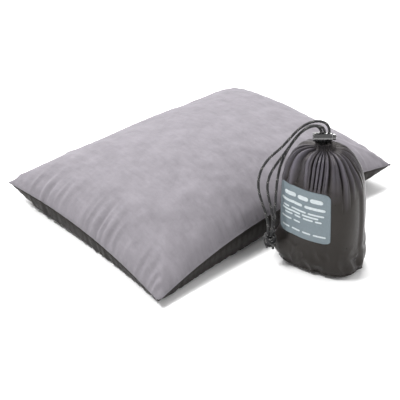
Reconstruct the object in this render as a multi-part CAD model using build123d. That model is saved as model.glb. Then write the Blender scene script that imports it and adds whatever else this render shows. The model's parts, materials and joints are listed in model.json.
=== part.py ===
"""Camp pillow: a filled pillow lying on its back, with a second one packed in its stuff sack beside it.

Millimetres. The origin is the middle of the pillow's footprint on the ground, +X along the pillow's long
sides, +Y from the sack towards the pillow's far side, +Z up. The sack stands at the middle of the near side.
"""

import math
import os

from build123d import *

os.makedirs("parts", exist_ok=True)

# ---- Pillow: half sizes of its outline at each height, how far its sides pull in, and its corner radii ----
SEAM_Z = 30.0
PILLOW_TOP = [  # height, half length, half width, pull of the sides, corner radius
    (SEAM_Z, 181.5, 136.5, 12.0, 8.0),
    (46.0, 168.0, 122.0, 5.0, 26.0),
    (64.0, 140.0, 96.0, -5.0, 46.0),
    (79.0, 96.0, 58.0, -8.0, 46.0),
    (88.0, 42.0, 22.0, -3.0, 18.0),
]
PILLOW_BOTTOM = [
    (SEAM_Z, 181.5, 136.5, 12.0, 8.0),
    (18.0, 168.0, 121.0, 6.0, 24.0),
    (7.0, 146.0, 100.0, -4.0, 38.0),
    (0.0, 114.0, 72.0, -6.0, 40.0),
]
TOP_CLOTH = 1.2
BOTTOM_CLOTH = 0.8
FILL_GAP = 0.4
HEM_CLOTH = 0.6
HEM_INSET = 1.1
HEM_WIDTH = 9.0
STITCH_INSET = 7.5
STITCH_THREAD = 0.6
STITCH_HEIGHT = 1.6
GROOVE_HEIGHT = 2.4

CARE_LABEL_X = 105.0
CARE_LABEL_WIDTH = 32.0
CARE_LABEL_REACH = 22.0
CARE_LABEL_THICK = 0.6

# ---- Stuff sack: half sizes of its oval outline at each height, and how far it leans along the lock ----
SACK_X = 3.1
SACK_Y = -185.2
SACK_TURN = 106.5
SACK_SECTIONS = [  # height, half length, half depth, lean
    (0.0, 41.0, 27.0, 0.0),
    (5.0, 46.0, 31.5, 0.0),
    (16.0, 47.2, 33.0, -0.3),
    (60.0, 46.2, 32.6, -1.5),
    (95.0, 44.6, 31.8, -3.4),
    (112.0, 41.6, 30.0, -4.6),
    (124.0, 34.5, 26.0, -5.4),
    (131.0, 23.0, 18.5, -5.9),
    (135.5, 10.2, 10.2, -6.1),
]
SACK_CORNER_SHARE = 0.75
SACK_BULGE_SHARE = 0.06
SACK_CLOTH = 0.8
PACK_GAP = 0.5
BASE_EDGE_Z = 4.6
BODY_EDGE_Z = 5.4
SIDE_SEAM_WIDTH = 4.0
SIDE_SEAM_TOP = 118.0
PACK_NECK_DROP = 2.0

LABEL_CENTRE_X = 9.0
LABEL_LOW_Z = 42.0
LABEL_HIGH_Z = 100.0
LABEL_WIDTH = 58.0
LABEL_CORNER = 5.0
LABEL_THICK = 0.5

# ---- Drawcord channel and cord lock, placed on the sack's neck ----
NECK_X = -1.4
NECK_Y = -181.2
LOCK_TURN = -41.9
HEM_LOW_Z = 135.5
HEM_HIGH_Z = 142.3
HEM_RADIUS = 10.2
HEM_FILLET = 2.2
HEM_MOUTH_REACH = 10.0
HEM_CORD_Z = 138.9
HEM_CORD_RADIUS = 7.2
HEM_TUNNEL = 1.7
CORD_DIAMETER = 2.8
CORD_PLACES = [4.9, 0.3, -2.8]
RISER_TOP_Z = 151.0
RISER_FOOT = 2.0
LINK_INSET = 0.2

LOCK_Z = 147.2
LOCK_RADIUS = 4.6
LOCK_START = -11.4
LOCK_END = 8.4
LOCK_EDGE = 1.4
LOCK_FLOOR = 1.3
LOCK_BORE = 3.35
LOCK_HOLE = 1.65
PLUNGER_RADIUS = 3.25
PLUNGER_START = -6.3
PLUNGER_END = 11.9
PLUNGER_EDGE = 1.0
PLUNGER_TRAVEL = 1.8
WINDOW_START = -4.5
WINDOW_GAP = 0.1
SPRING_WIRE = 0.5
SPRING_RADIUS = 2.3
SPRING_TURNS = 3.0

KNOT_PLACE = (-49.6, -10.4, 31.8)
KNOT_WIDTH = 12.0
KNOT_HEIGHT = 14.0

# ---- Cord legs: along the lock, across it, and height above the ground, chosen by hand ----
CORD_LEG_1 = [
    (4.9, 0.0, 151.8),
    (4.6, 0.2, 156.4),
    (2.2, 0.8, 160.8),
    (-2.8, 1.2, 163.6),
    (-9.6, 1.2, 164.0),
    (-17.2, 0.6, 161.8),
    (-24.6, -0.4, 157.0),
    (-30.9, -1.2, 150.2),
    (-36.8, -1.6, 142.4),
    (-43.6, -1.9, 134.2),
    (-51.8, -2.3, 126.6),
    (-59.2, -3.4, 116.8),
    (-63.6, -4.8, 104.6),
    (-63.9, -6.2, 91.2),
    (-60.4, -7.8, 77.8),
    (-55.9, -9.4, 65.2),
    (-52.9, -10.2, 54.0),
    (-52.1, -10.4, 44.4),
    (-51.9, -10.4, 36.2),
]
CORD_LEG_2 = [
    (0.3, 0.0, 151.8),
    (-0.6, -0.8, 156.4),
    (-4.2, -1.8, 159.8),
    (-10.0, -2.2, 160.8),
    (-16.6, -1.9, 158.6),
    (-22.4, -1.0, 153.6),
    (-27.4, -0.2, 147.4),
    (-31.8, 0.0, 139.8),
    (-36.4, -0.4, 132.0),
    (-42.0, -1.4, 123.4),
    (-48.2, -2.8, 114.4),
    (-53.0, -4.0, 104.6),
    (-54.9, -5.4, 93.0),
    (-52.9, -6.8, 80.6),
    (-49.6, -8.6, 68.6),
    (-48.1, -10.2, 57.0),
    (-48.2, -11.4, 46.6),
    (-48.9, -11.9, 36.4),
]
CORD_LEG_3 = [
    (-2.8, 0.0, 152.2),
    (-4.3, 1.4, 156.0),
    (-8.4, 3.0, 158.2),
    (-13.8, 4.0, 157.4),
    (-19.0, 4.3, 154.0),
    (-23.8, 4.3, 148.6),
    (-28.4, 4.2, 142.0),
    (-33.2, 3.6, 134.6),
    (-37.4, 2.2, 126.0),
    (-41.2, -0.2, 117.0),
    (-43.8, -3.2, 106.8),
    (-45.2, -6.0, 95.2),
    (-45.8, -8.0, 82.8),
    (-46.0, -9.2, 69.8),
    (-45.9, -9.0, 57.6),
    (-46.4, -8.4, 47.0),
    (-47.6, -8.4, 37.0),
]
CORD_LEGS = {"cord_leg_1": CORD_LEG_1, "cord_leg_2": CORD_LEG_2, "cord_leg_3": CORD_LEG_3}
ARC_SHARE = 0.45

SACK_PLACE = Location((SACK_X, SACK_Y, 0), (0, 0, SACK_TURN))
LOCK_PLACE = Location((NECK_X, NECK_Y, 0), (0, 0, LOCK_TURN))
BIG = 500.0


def outline(half_x, half_y, pull, corner, z):
    """An eight-edged outline: four bowed sides, pulled in where pull is positive, and four rounded corners."""
    inner_x = half_x - corner
    inner_y = half_y - corner
    bow = corner * (1 - math.sqrt(0.5))
    edges = []
    for quarter in range(4):
        along, across = (half_x, half_y) if quarter % 2 == 0 else (half_y, half_x)
        inner_along, inner_across = (inner_x, inner_y) if quarter % 2 == 0 else (inner_y, inner_x)
        turn = Location((0, 0, z), (0, 0, 90 * quarter))
        side = ThreePointArc((-inner_along, -across), (0, pull - across), (inner_along, -across))
        bend = ThreePointArc((inner_along, -across), (along - bow, bow - across), (along, -inner_across))
        edges += [turn * side.edge(), turn * bend.edge()]
    return Face(Wire(edges))


def pillow_loft(sections, cloth):
    """One half of the pillow, inset by a cloth thickness on its sides and at its closed end."""
    faces = []
    for z, half_x, half_y, pull, corner in sections:
        if z > SEAM_Z:
            z -= cloth
        elif z < SEAM_Z:
            z += cloth
        faces.append(outline(half_x - cloth, half_y - cloth, pull, corner - min(cloth, corner / 3), z))
    return loft(faces)


def seam_ring(outer_inset, inner_inset, low_z, high_z):
    """A flat ring that follows the pillow's seam, between two insets from it."""
    _, half_x, half_y, pull, corner = PILLOW_TOP[0]
    rings = []
    for inset in (outer_inset, inner_inset):
        face = outline(half_x - inset, half_y - inset, pull, corner, low_z)
        rings.append(extrude(face, amount=high_z - low_z, dir=(0, 0, 1)))
    return rings[0] - rings[1]


def sack_loft(inset, base_lift, top_drop):
    """The filled sack, inset on its sides, with its base lifted and its neck lowered."""
    faces = []
    lean_x = math.cos(math.radians(LOCK_TURN))
    lean_y = math.sin(math.radians(LOCK_TURN))
    last = len(SACK_SECTIONS) - 1
    for index, (z, half_x, half_y, lean) in enumerate(SACK_SECTIONS):
        z += base_lift if index == 0 else 0
        z -= top_drop if index == last else 0
        bulge = SACK_BULGE_SHARE * half_x
        corner = SACK_CORNER_SHARE * half_y - min(inset, 2)
        face = outline(half_x - bulge - inset, half_y - bulge - inset, -bulge, corner, z)
        faces.append(Location((lean * lean_x, lean * lean_y, 0)) * (SACK_PLACE * face))
    return loft(faces)


def slab(low_z, high_z):
    """A wide flat block between two heights, for cutting."""
    return Pos(0, 0, (low_z + high_z) / 2) * Box(2 * BIG, 2 * BIG, high_z - low_z)


def upright(radius, x, low_z, high_z):
    """A vertical cylinder in the lock's own frame."""
    return Pos(x, 0, (low_z + high_z) / 2) * Cylinder(radius, high_z - low_z)


def along_lock(radius, start, end, z):
    """A cylinder along the lock's own axis."""
    return Pos((start + end) / 2, 0, z) * Rot(0, 90, 0) * Cylinder(radius, end - start)


def cord_tube(name, places):
    """A tube of straight runs joined by tangent arcs, each as large as its two runs allow."""
    points = [(LOCK_PLACE * Location(place)).position for place in places]
    radii = []
    for before, here, after in zip(points, points[1:], points[2:]):
        into = here - before
        out = after - here
        half_turn = math.radians(into.get_angle(out)) / 2
        radii.append(ARC_SHARE * min(into.length, out.length) / math.tan(half_turn))
    path = FilletPolyline(*points, radius=radii).wire()
    start = Plane(origin=path @ 0, z_dir=path % 0)
    tube = sweep(start * Circle(CORD_DIAMETER / 2), path=path)
    expected = math.pi * CORD_DIAMETER**2 / 4 * path.length
    print(name, "length", round(path.length, 1), "volume share", round(tube.volume / expected, 4))
    print(name, "radii", [round(radius, 1) for radius in radii])
    return tube


def make_pillow():
    """The filled pillow: two cloth panels with turned-in hems, their stitching, the filling and a label."""
    top_whole = pillow_loft(PILLOW_TOP, 0)
    bottom_whole = pillow_loft(PILLOW_BOTTOM, 0)
    hem_end = HEM_INSET + HEM_WIDTH
    top_hem = seam_ring(HEM_INSET, hem_end, SEAM_Z, SEAM_Z + HEM_CLOTH)
    bottom_hem = seam_ring(HEM_INSET, hem_end, SEAM_Z - HEM_CLOTH, SEAM_Z)
    top_panel = top_whole - pillow_loft(PILLOW_TOP, TOP_CLOTH) + top_hem
    bottom_panel = bottom_whole - pillow_loft(PILLOW_BOTTOM, BOTTOM_CLOTH) + bottom_hem

    filling_top = pillow_loft(PILLOW_TOP, TOP_CLOTH + FILL_GAP)
    filling_bottom = pillow_loft(PILLOW_BOTTOM, TOP_CLOTH + FILL_GAP)
    groove_low = SEAM_Z - GROOVE_HEIGHT / 2
    groove = seam_ring(-TOP_CLOTH, hem_end + FILL_GAP, groove_low, groove_low + GROOVE_HEIGHT)
    filling = filling_top + filling_bottom - groove

    stitch_low = SEAM_Z - STITCH_HEIGHT / 2
    stitch_end = STITCH_INSET + STITCH_THREAD
    stitching = seam_ring(STITCH_INSET, stitch_end, stitch_low, stitch_low + STITCH_HEIGHT)

    _, _, half_y, pull, _ = PILLOW_TOP[0]
    label_y = half_y - pull + CARE_LABEL_REACH / 2
    label = Pos(CARE_LABEL_X, label_y, SEAM_Z) * Box(CARE_LABEL_WIDTH, CARE_LABEL_REACH, CARE_LABEL_THICK)
    return {
        "pillow_top_panel": top_panel,
        "pillow_bottom_panel": bottom_panel,
        "fibre_fill": filling,
        "seam_thread": stitching,
        "care_label": label - top_whole - bottom_whole,
    }


def make_sack():
    """The stuff sack: base, body, the seams between them, its label and the pillow packed inside."""
    whole = sack_loft(0, 0, 0)
    hollow = sack_loft(SACK_CLOTH, SACK_CLOTH, 0)
    cloth = whole - hollow
    side_height = SIDE_SEAM_TOP - BODY_EDGE_Z
    side_block = Pos(BIG / 2, 0, BODY_EDGE_Z + side_height / 2) * Box(BIG, SIDE_SEAM_WIDTH, side_height)
    side_block = Location((SACK_X, SACK_Y, 0), (0, 0, LOCK_TURN)) * side_block
    body = cloth & slab(BODY_EDGE_Z, BIG)

    label_block = Pos(LABEL_CENTRE_X, 0, (LABEL_LOW_Z + LABEL_HIGH_Z) / 2)
    label_face = Plane.XZ * RectangleRounded(LABEL_WIDTH, LABEL_HIGH_Z - LABEL_LOW_Z, LABEL_CORNER)
    label_block = SACK_PLACE * (label_block * extrude(label_face, amount=-BIG))
    return {
        "sack_body_panel": body - side_block,
        "sack_side_seam": body & side_block,
        "sack_base_seam": cloth & slab(BASE_EDGE_Z, BODY_EDGE_Z),
        "sack_base_panel": cloth & slab(-1, BASE_EDGE_Z),
        "sack_label": (sack_loft(-LABEL_THICK, 0, 0) & label_block) - whole,
        "packed_pillow": sack_loft(SACK_CLOTH + PACK_GAP, SACK_CLOTH + PACK_GAP, PACK_NECK_DROP),
    }


def make_drawcord():
    """The gathered hem with its tunnel, and the cord that runs round it and rises into the lock."""
    hem = Pos(0, 0, (HEM_LOW_Z + HEM_HIGH_Z) / 2) * Cylinder(HEM_RADIUS, HEM_HIGH_Z - HEM_LOW_Z)
    hem = fillet(hem.edges().group_by(Axis.Z)[-1], HEM_FILLET)
    mouth_start = min(CORD_PLACES) - HEM_TUNNEL
    mouth_end = max(CORD_PLACES) + HEM_TUNNEL
    mouth_middle = (mouth_start + mouth_end) / 2
    mouth = Pos(mouth_middle, 0, HEM_CORD_Z) * extrude(
        SlotOverall(mouth_end - mouth_start, 2 * HEM_TUNNEL), amount=HEM_MOUTH_REACH, both=True
    )
    tunnel = Pos(0, 0, HEM_CORD_Z) * Torus(HEM_CORD_RADIUS, HEM_TUNNEL)
    link_start = -HEM_CORD_RADIUS
    tunnel_link = along_lock(HEM_TUNNEL, link_start, mouth_middle, HEM_CORD_Z)
    cord = Pos(0, 0, HEM_CORD_Z) * Torus(HEM_CORD_RADIUS, CORD_DIAMETER / 2)
    cord += along_lock(CORD_DIAMETER / 2, link_start, min(CORD_PLACES), HEM_CORD_Z)
    cord += along_lock(CORD_DIAMETER / 2, max(CORD_PLACES), HEM_CORD_RADIUS, HEM_CORD_Z)
    for place in CORD_PLACES:
        cord += upright(CORD_DIAMETER / 2, place, HEM_CORD_Z - RISER_FOOT, RISER_TOP_Z)
    cord += along_lock(CORD_DIAMETER / 2 - LINK_INSET, min(CORD_PLACES), CORD_PLACES[1], HEM_CORD_Z)
    return {
        "hem_casing": LOCK_PLACE * (hem - mouth - tunnel - tunnel_link),
        "drawcord_loop": LOCK_PLACE * cord,
    }


def make_lock():
    """The cord lock: a bored barrel, the plunger whose window the cords pass through, and its spring."""
    barrel = along_lock(LOCK_RADIUS, LOCK_START, LOCK_END, LOCK_Z)
    barrel = fillet(barrel.edges().filter_by(GeomType.CIRCLE), LOCK_EDGE)
    barrel -= along_lock(LOCK_BORE, LOCK_START + LOCK_FLOOR, LOCK_END + 1, LOCK_Z)
    pair_middle = (CORD_PLACES[1] + CORD_PLACES[2]) / 2
    pair_length = CORD_PLACES[1] - CORD_PLACES[2] + 2 * LOCK_HOLE
    holes = Pos(pair_middle, 0, LOCK_Z) * extrude(
        SlotOverall(pair_length, 2 * LOCK_HOLE), amount=2 * LOCK_RADIUS, both=True
    )
    holes += upright(LOCK_HOLE, CORD_PLACES[0], LOCK_Z - 2 * LOCK_RADIUS, LOCK_Z + 2 * LOCK_RADIUS)

    plunger = along_lock(PLUNGER_RADIUS, PLUNGER_START, PLUNGER_END, LOCK_Z)
    plunger = fillet(plunger.edges().group_by(Axis.X)[-1], PLUNGER_EDGE)
    window_end = max(CORD_PLACES) + CORD_DIAMETER / 2 + WINDOW_GAP + PLUNGER_TRAVEL
    window = Pos((WINDOW_START + window_end) / 2, 0, LOCK_Z) * extrude(
        SlotOverall(window_end - WINDOW_START, 2 * LOCK_HOLE), amount=2 * LOCK_RADIUS, both=True
    )

    coil_start = LOCK_START + LOCK_FLOOR + SPRING_WIRE / 2
    coil_length = PLUNGER_START - LOCK_START - LOCK_FLOOR - SPRING_WIRE
    helix = Helix(pitch=coil_length / SPRING_TURNS, height=coil_length, radius=SPRING_RADIUS)
    wire_end = Plane(origin=helix @ 0, z_dir=helix % 0) * Circle(SPRING_WIRE / 2)
    coil = sweep(wire_end, path=helix, is_frenet=True)
    coil = Pos(coil_start, 0, LOCK_Z) * Rot(0, 90, 0) * coil
    return {
        "lock_barrel": LOCK_PLACE * (barrel - holes),
        "lock_plunger": LOCK_PLACE * (plunger - window),
        "lock_spring": LOCK_PLACE * coil,
    }


def make_cord_legs():
    """The three hanging cords and the knot that ties their ends."""
    parts = {name: cord_tube(name, places) for name, places in CORD_LEGS.items()}
    half_height = KNOT_HEIGHT / 2
    rim = KNOT_WIDTH / 2
    profile = Plane.XZ * make_face(
        Polyline((0, half_height), (0, -half_height)).edges()
        + Spline((0, -half_height), (rim, 0), (0, half_height), tangents=((1, 0), (-1, 0))).edges()
    )
    parts["cord_knot"] = LOCK_PLACE * (Pos(*KNOT_PLACE) * revolve(profile, Axis.Z))
    return parts


def main():
    """Make every piece and write it to its own file."""
    pieces = {**make_pillow(), **make_sack(), **make_drawcord(), **make_lock(), **make_cord_legs()}
    for name, piece in pieces.items():
        export_step(piece, f"parts/{name}.step")


main()
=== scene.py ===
"""Looks of the camp pillow: simulated cloth panels, a gathered stuff sack, braided cords and a cord lock.

Everything is in metres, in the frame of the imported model. Positions come from the model's own nodes.
"""

import json
import math

import bpy
import numpy as np
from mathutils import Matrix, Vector, noise
from mathutils.bvhtree import BVHTree


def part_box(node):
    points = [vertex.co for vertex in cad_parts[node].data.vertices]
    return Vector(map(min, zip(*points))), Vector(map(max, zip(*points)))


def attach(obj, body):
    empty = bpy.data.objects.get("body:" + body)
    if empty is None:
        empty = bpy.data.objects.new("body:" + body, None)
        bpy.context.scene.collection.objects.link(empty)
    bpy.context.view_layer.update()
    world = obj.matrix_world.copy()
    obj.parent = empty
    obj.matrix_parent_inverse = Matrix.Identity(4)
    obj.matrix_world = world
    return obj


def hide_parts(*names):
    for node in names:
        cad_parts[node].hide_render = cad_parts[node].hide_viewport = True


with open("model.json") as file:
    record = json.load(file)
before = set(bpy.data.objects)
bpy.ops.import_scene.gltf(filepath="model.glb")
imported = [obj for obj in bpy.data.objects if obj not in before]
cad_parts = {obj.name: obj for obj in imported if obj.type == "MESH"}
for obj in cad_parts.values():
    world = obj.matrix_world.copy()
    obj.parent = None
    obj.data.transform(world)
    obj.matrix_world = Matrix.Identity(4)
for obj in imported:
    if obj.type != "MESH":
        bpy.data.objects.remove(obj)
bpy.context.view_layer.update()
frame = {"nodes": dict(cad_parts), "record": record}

MM = 0.001

# ---- Where things are, read from the frame ----
JOINTS = {joint["name"]: joint for joint in frame["record"]["behaviour"]["joints"]}
LOCK_ALONG = -Vector(JOINTS["plunger_press"]["axis"]).normalized()
LOCK_ACROSS = Vector((0, 0, 1)).cross(LOCK_ALONG)


def middle(node):
    """The middle of a CAD node's box."""
    low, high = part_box(node)
    return (low + high) / 2


def half_size(node, axis):
    """Half of a CAD node's size along an axis."""
    low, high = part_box(node)
    return (high[axis] - low[axis]) / 2


NECK = middle("hem_casing")
SACK_BASE = middle("sack_base_panel")
NECK_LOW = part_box("hem_casing")[0].z
NECK_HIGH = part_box("hem_casing")[1].z


def smooth(low, high, x):
    """0 below low, 1 above high, and a smooth step between."""
    t = np.clip((x - low) / (high - low), 0.0, 1.0)
    return t * t * (3 - 2 * t)


# ---- Camera, light and floor ----
CAMERA_PLACE = Vector((-0.649, -0.719, 0.588))
CAMERA_TURN = math.radians(48.1)
CAMERA_DROP = math.radians(31.7)
CAMERA_LENS = 85.5
WORLD_LIGHT = 0.5
LIGHTS = [  # name, place, target, size and power in watts
    ("key", (0.5, 1.5, 2.0), (0.0, 0.0, 0.0), 3.0, 96.0),
    ("fill", (0.9, -1.2, 1.0), (0.0, -0.1, 0.05), 1.5, 10.0),
    ("back", (0.43, 0.10, 1.05), (0.0, -0.18, 0.14), 0.28, 4.0),
    ("left", (-0.59, 0.25, 1.0), (0.0, -0.18, 0.12), 0.22, 9.5),
]
FLOOR_HALF = 4.0
FLOOR_WHITE = 0.96


def make_camera():
    """The camera at the reference view's angle."""
    data = bpy.data.cameras.new("camera")
    camera = bpy.data.objects.new("camera", data)
    bpy.context.scene.collection.objects.link(camera)
    level = math.cos(CAMERA_DROP)
    forward = Vector((math.cos(CAMERA_TURN) * level, math.sin(CAMERA_TURN) * level, -math.sin(CAMERA_DROP)))
    camera.location = CAMERA_PLACE
    camera.rotation_mode = "QUATERNION"
    camera.rotation_quaternion = forward.to_track_quat("-Z", "Y")
    data.lens = CAMERA_LENS
    data.sensor_width = 36.0
    bpy.context.scene.camera = camera


def make_light(name, place, target, size, power):
    """A square soft light that points at a target."""
    data = bpy.data.lights.new(name, "AREA")
    data.shape = "SQUARE"
    data.size = size
    data.energy = power
    light = bpy.data.objects.new(name, data)
    bpy.context.scene.collection.objects.link(light)
    light.location = place
    light.rotation_mode = "QUATERNION"
    light.rotation_quaternion = (Vector(target) - Vector(place)).to_track_quat("-Z", "Y")


def level_square(name):
    """A large level square at the height of the floor."""
    half = FLOOR_HALF
    mesh = bpy.data.meshes.new(name)
    corners = [(-half, -half, 0), (half, -half, 0), (half, half, 0), (-half, half, 0)]
    mesh.from_pydata(corners, [], [(0, 1, 2, 3)])
    square = bpy.data.objects.new(name, mesh)
    bpy.context.scene.collection.objects.link(square)
    return square


def make_stage():
    """A plain pale floor, an even white surround and soft lights."""
    scene = bpy.context.scene
    scene.view_settings.view_transform = "Standard"
    world = bpy.data.worlds.new("studio")
    scene.world = world
    world.use_nodes = True
    world.node_tree.nodes["Background"].inputs["Color"].default_value = (1.0, 1.0, 1.0, 1.0)
    world.node_tree.nodes["Background"].inputs["Strength"].default_value = WORLD_LIGHT
    for light in LIGHTS:
        make_light(*light)
    floor = level_square("floor")
    paint = bpy.data.materials.new("floor")
    paint.use_nodes = True
    shader = paint.node_tree.nodes["Principled BSDF"]
    shader.inputs["Base Color"].default_value = (FLOOR_WHITE, FLOOR_WHITE, FLOOR_WHITE, 1)
    shader.inputs["Roughness"].default_value = 0.9
    shader.inputs["Specular IOR Level"].default_value = 0.1
    floor.data.materials.append(paint)


make_camera()
make_stage()


# ---- Materials ----
class Shader:
    """A material's node tree, with short calls that add its nodes."""

    def __init__(self, name, **values):
        """Make the material; values are its main shader's sockets, with underscores for spaces."""
        self.material = bpy.data.materials.new(name)
        self.material.use_nodes = True
        self.tree = self.material.node_tree
        self.main = self.tree.nodes["Principled BSDF"]
        for key, value in values.items():
            self.main.inputs[key.replace("_", " ")].default_value = value

    def node(self, kind, inputs=(), **settings):
        """Add a node, set its properties, and give its inputs their constants and links."""
        made = self.tree.nodes.new(kind)
        for key, value in settings.items():
            setattr(made, key, value)
        for name, value in dict(inputs).items():
            if isinstance(value, bpy.types.NodeSocket):
                self.tree.links.new(value, made.inputs[name])
            else:
                made.inputs[name].default_value = value
        return made

    def stored(self, name, output):
        """A value that is stored on the mesh."""
        return self.node("ShaderNodeAttribute", attribute_name=name).outputs[output]

    def stretched(self, place, scale):
        """Coordinates stretched by scale."""
        return self.node("ShaderNodeMapping", {"Vector": place, "Scale": scale}).outputs["Vector"]

    def object_place(self, scale=(1, 1, 1)):
        """Coordinates in the piece's own metres, stretched by scale."""
        return self.stretched(self.node("ShaderNodeTexCoord").outputs["Object"], scale)

    def cloth_place(self, scale=(1, 1, 1)):
        """Coordinates on the flat cloth in metres, stretched by scale."""
        return self.stretched(self.stored("cloth_place", "Vector"), scale)

    def noise(self, vector, scale, detail, roughness):
        """A noise texture's value."""
        inputs = {"Vector": vector, "Scale": scale, "Detail": detail, "Roughness": roughness}
        return self.node("ShaderNodeTexNoise", inputs).outputs["Fac"]

    def bands(self, vector, scale, direction):
        """A sine band texture's value."""
        inputs = {"Vector": vector, "Scale": scale}
        return self.node("ShaderNodeTexWave", inputs, bands_direction=direction).outputs["Fac"]

    def product(self, a, b):
        """Two values multiplied."""
        return self.node("ShaderNodeMath", {0: a, 1: b}, operation="MULTIPLY").outputs["Value"]

    def weave(self, place, scale):
        """The height of a plain weave."""
        return self.product(self.bands(place, scale, "X"), self.bands(place, scale, "Y"))

    def ramp(self, value, stops):
        """A colour ramp from a list of (position, colour)."""
        made = self.node("ShaderNodeValToRGB", {"Fac": value})
        elements = made.color_ramp.elements
        while len(elements) < len(stops):
            elements.new(0.5)
        for element, (position, colour) in zip(elements, stops):
            element.position = position
            element.color = (*colour, 1.0)
        return made.outputs["Color"]

    def span(self, value, low, high):
        """A value from 0 to 1 made to run from low to high."""
        inputs = {"Value": value, "To Min": low, "To Max": high}
        return self.node("ShaderNodeMapRange", inputs).outputs["Result"]

    def tint(self, colour, value, low, high):
        """Darken and lighten a colour by a value that runs from 0 to 1."""
        inputs = {0: colour, "Scale": self.span(value, low, high)}
        return self.node("ShaderNodeVectorMath", inputs, operation="SCALE").outputs["Vector"]

    def mix(self, share, below, colour):
        """A flat colour laid over an output, by a share from 0 to 1."""
        factor, under, over, result = 0, 6, 7, 2
        inputs = {factor: share, under: below, over: (*colour, 1.0)}
        return self.node("ShaderNodeMix", inputs, data_type="RGBA").outputs[result]

    def bump(self, height, distance, strength, below=None):
        """A bump, over another bump's normal if there is one."""
        inputs = {"Height": height, "Distance": distance, "Strength": strength}
        if below is not None:
            inputs["Normal"] = below
        return self.node("ShaderNodeBump", inputs).outputs["Normal"]

    def finish(self, colour, normal, rough=None):
        """Join what was made to the main shader."""
        outputs = {"Base Color": colour, "Normal": normal, "Roughness": rough}
        for name, output in outputs.items():
            if output is not None:
                self.tree.links.new(output, self.main.inputs[name])
        return self.material


def grey_spread(colour, share):
    """Three stops round a colour, from darker to lighter."""
    dark = tuple(c * (1 - share) for c in colour)
    light = tuple(min(1.0, c * (1 + share)) for c in colour)
    return [(0.3, dark), (0.5, colour), (0.72, light)]


def microfibre_material(name, colour):
    """Brushed microfibre: soft blotches of nap, faint streaks, fine pile and a pale sheen."""
    made = Shader(name, Roughness=0.92, Specular_IOR_Level=0.12, Sheen_Weight=0.12, Sheen_Roughness=0.45,
                  Sheen_Tint=(0.95, 0.94, 1.0, 1.0))
    blotch = made.noise(made.cloth_place(), 34.0, 6.0, 0.65)
    streak = made.noise(made.cloth_place((1, 0.3, 1)), 190.0, 4.0, 0.65)
    pile = made.noise(made.cloth_place(), 2600.0, 2.0, 0.7)
    base = made.ramp(blotch, grey_spread(colour, 0.13))
    base = made.tint(base, streak, 0.84, 1.16)
    base = made.tint(base, pile, 0.9, 1.1)
    normal = made.bump(blotch, 2.5 * MM, 0.5)
    normal = made.bump(streak, 0.8 * MM, 0.45, normal)
    normal = made.bump(pile, 0.2 * MM, 0.35, normal)
    return made.finish(base, normal)


BANDS_EACH = 0.159  # a band texture's scale times its spacing
# Colour of the painted highlight on the gathers' tops, for cloth that stores none
NO_RIDGE_HIGHLIGHT = (0.05, 0.05, 0.05)


def nylon_material(name, colour, roughness, sheen, thread, ridge_highlight_colour=NO_RIDGE_HIGHLIGHT):
    """Fine woven nylon: plain weave at thread size, ripple from handling, a soft gloss, and a painted
    highlight: a paler colour laid on the tops of its gathers.
    """
    made = Shader(name, Specular_IOR_Level=0.26, Specular_Tint=(1.0, 0.93, 0.88, 1.0), Sheen_Weight=sheen,
                  Sheen_Roughness=0.35, Sheen_Tint=(0.93, 0.9, 1.0, 1.0))
    blotch = made.noise(made.cloth_place(), 40.0, 4.0, 0.6)
    weave = made.weave(made.cloth_place(), BANDS_EACH / thread)
    ripple = made.noise(made.cloth_place((1, 0.55, 1)), 150.0, 4.0, 0.55)
    base = made.ramp(blotch, grey_spread(colour, 0.12))
    base = made.tint(base, weave, 0.86, 1.12)
    # Painted highlight: the stored share lays the highlight colour over the tops of the gathers
    base = made.mix(made.stored("fleck_and_painted_light", "Fac"), base, ridge_highlight_colour)
    normal = made.bump(ripple, 0.8 * MM, 0.25)
    normal = made.bump(weave, 0.12 * MM, 0.5, normal)
    return made.finish(base, normal, made.span(blotch, roughness - 0.06, roughness + 0.08))


def fibre_material():
    """Loose white polyester fibre."""
    made = Shader("fibre", Roughness=0.95, Sheen_Weight=0.4)
    tuft = made.noise(made.object_place(), 120.0, 6.0, 0.7)
    base = made.ramp(tuft, [(0.3, (0.72, 0.72, 0.70)), (0.7, (0.90, 0.90, 0.88))])
    return made.finish(base, made.bump(tuft, 2 * MM, 0.6))


def cord_material():
    """Black braided cord with pale flecks, and painted shade: darker where its surface dips between the
    strands.
    """
    made = Shader("cord_braid", Roughness=0.62, Specular_IOR_Level=0.35, Sheen_Weight=0.15)
    black, grey, pale = (0.012, 0.012, 0.013), (0.02, 0.02, 0.021), (0.62, 0.6, 0.57)
    # Painted shade in the braid's dips, and its real pale flecks, both from the stored value
    base = made.ramp(made.stored("fleck_and_painted_light", "Fac"), [(0.0, black), (0.72, grey), (0.9, pale)])
    fibre = made.noise(made.object_place(), 5000.0, 2.0, 0.6)
    base = made.tint(base, fibre, 0.75, 1.25)
    return made.finish(base, made.bump(fibre, 0.1 * MM, 0.5))


def plain_cord_material():
    """The same cord where it is a plain ring: a diagonal braid from crossing bands, with painted shade in its
    hollows and a pale painted highlight on its highest crossings.
    """
    made = Shader("cord_braid_short", Roughness=0.62, Specular_IOR_Level=0.35, Sheen_Weight=0.15)
    one = made.bands(made.object_place((1, 0, 1)), 160.0, "DIAGONAL")
    two = made.bands(made.object_place((-1, 0, 1)), 160.0, "DIAGONAL")
    braid = made.product(one, two)
    black, grey, pale = (0.008, 0.008, 0.008), (0.022, 0.022, 0.023), (0.25, 0.25, 0.24)
    # Painted shade and highlight: dark in the braid's hollows, pale on its highest crossings
    base = made.ramp(braid, [(0.0, black), (0.8, grey), (0.97, pale)])
    return made.finish(base, made.bump(braid, 0.3 * MM, 0.8))


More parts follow.
